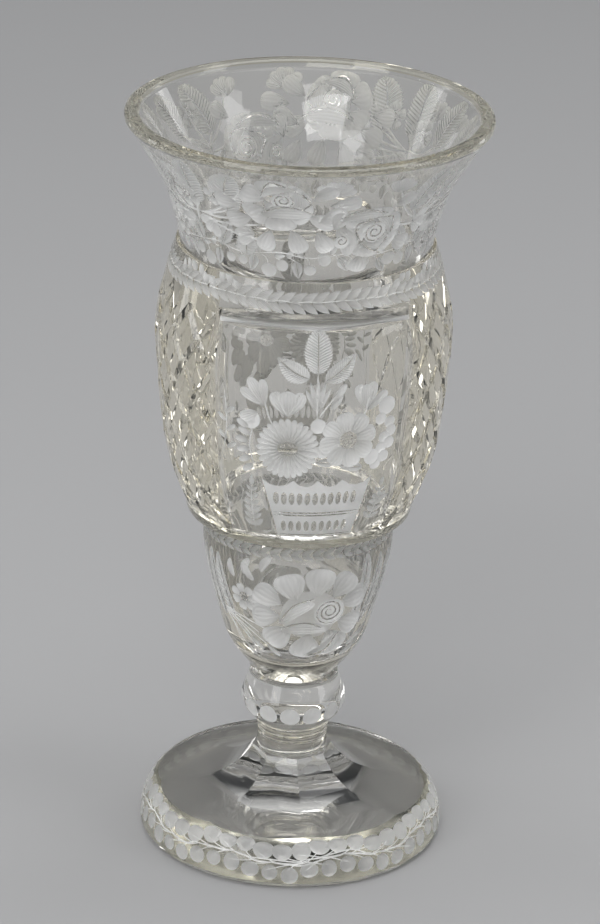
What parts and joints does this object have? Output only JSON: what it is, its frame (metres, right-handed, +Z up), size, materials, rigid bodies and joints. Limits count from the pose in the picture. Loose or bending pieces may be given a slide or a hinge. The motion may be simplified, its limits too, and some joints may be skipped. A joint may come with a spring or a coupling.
{
  "type": "pedestal vase",
  "caption": "Tall cut and engraved clear glass vase: flared collar, bulging body with ground panels and diamond cutting, ring, lower bowl, knop, short stem and panel-cut round foot.",
  "frame": {"origin": "Centre of the underside of the foot, on the surface that the vase stands on", "axes": "+Z up along the axis of the vase, -Y through the middle of the front panel, +X to its right"},
  "size_m": [0.1498, 0.1498, 0.32],
  "materials": {
    "glass_clear": "polished clear glass with a faint straw tint, engraving left matte",
    "glass_thick": "polished thick clear glass with a faint straw tint, engraved band left matte"
  },
  "bodies": {
    "root": {"bowl": "glass_clear", "knop": "glass_clear", "merese": "glass_thick", "stem": "glass_thick", "foot": "glass_thick"}
  },
  "joints": []
}
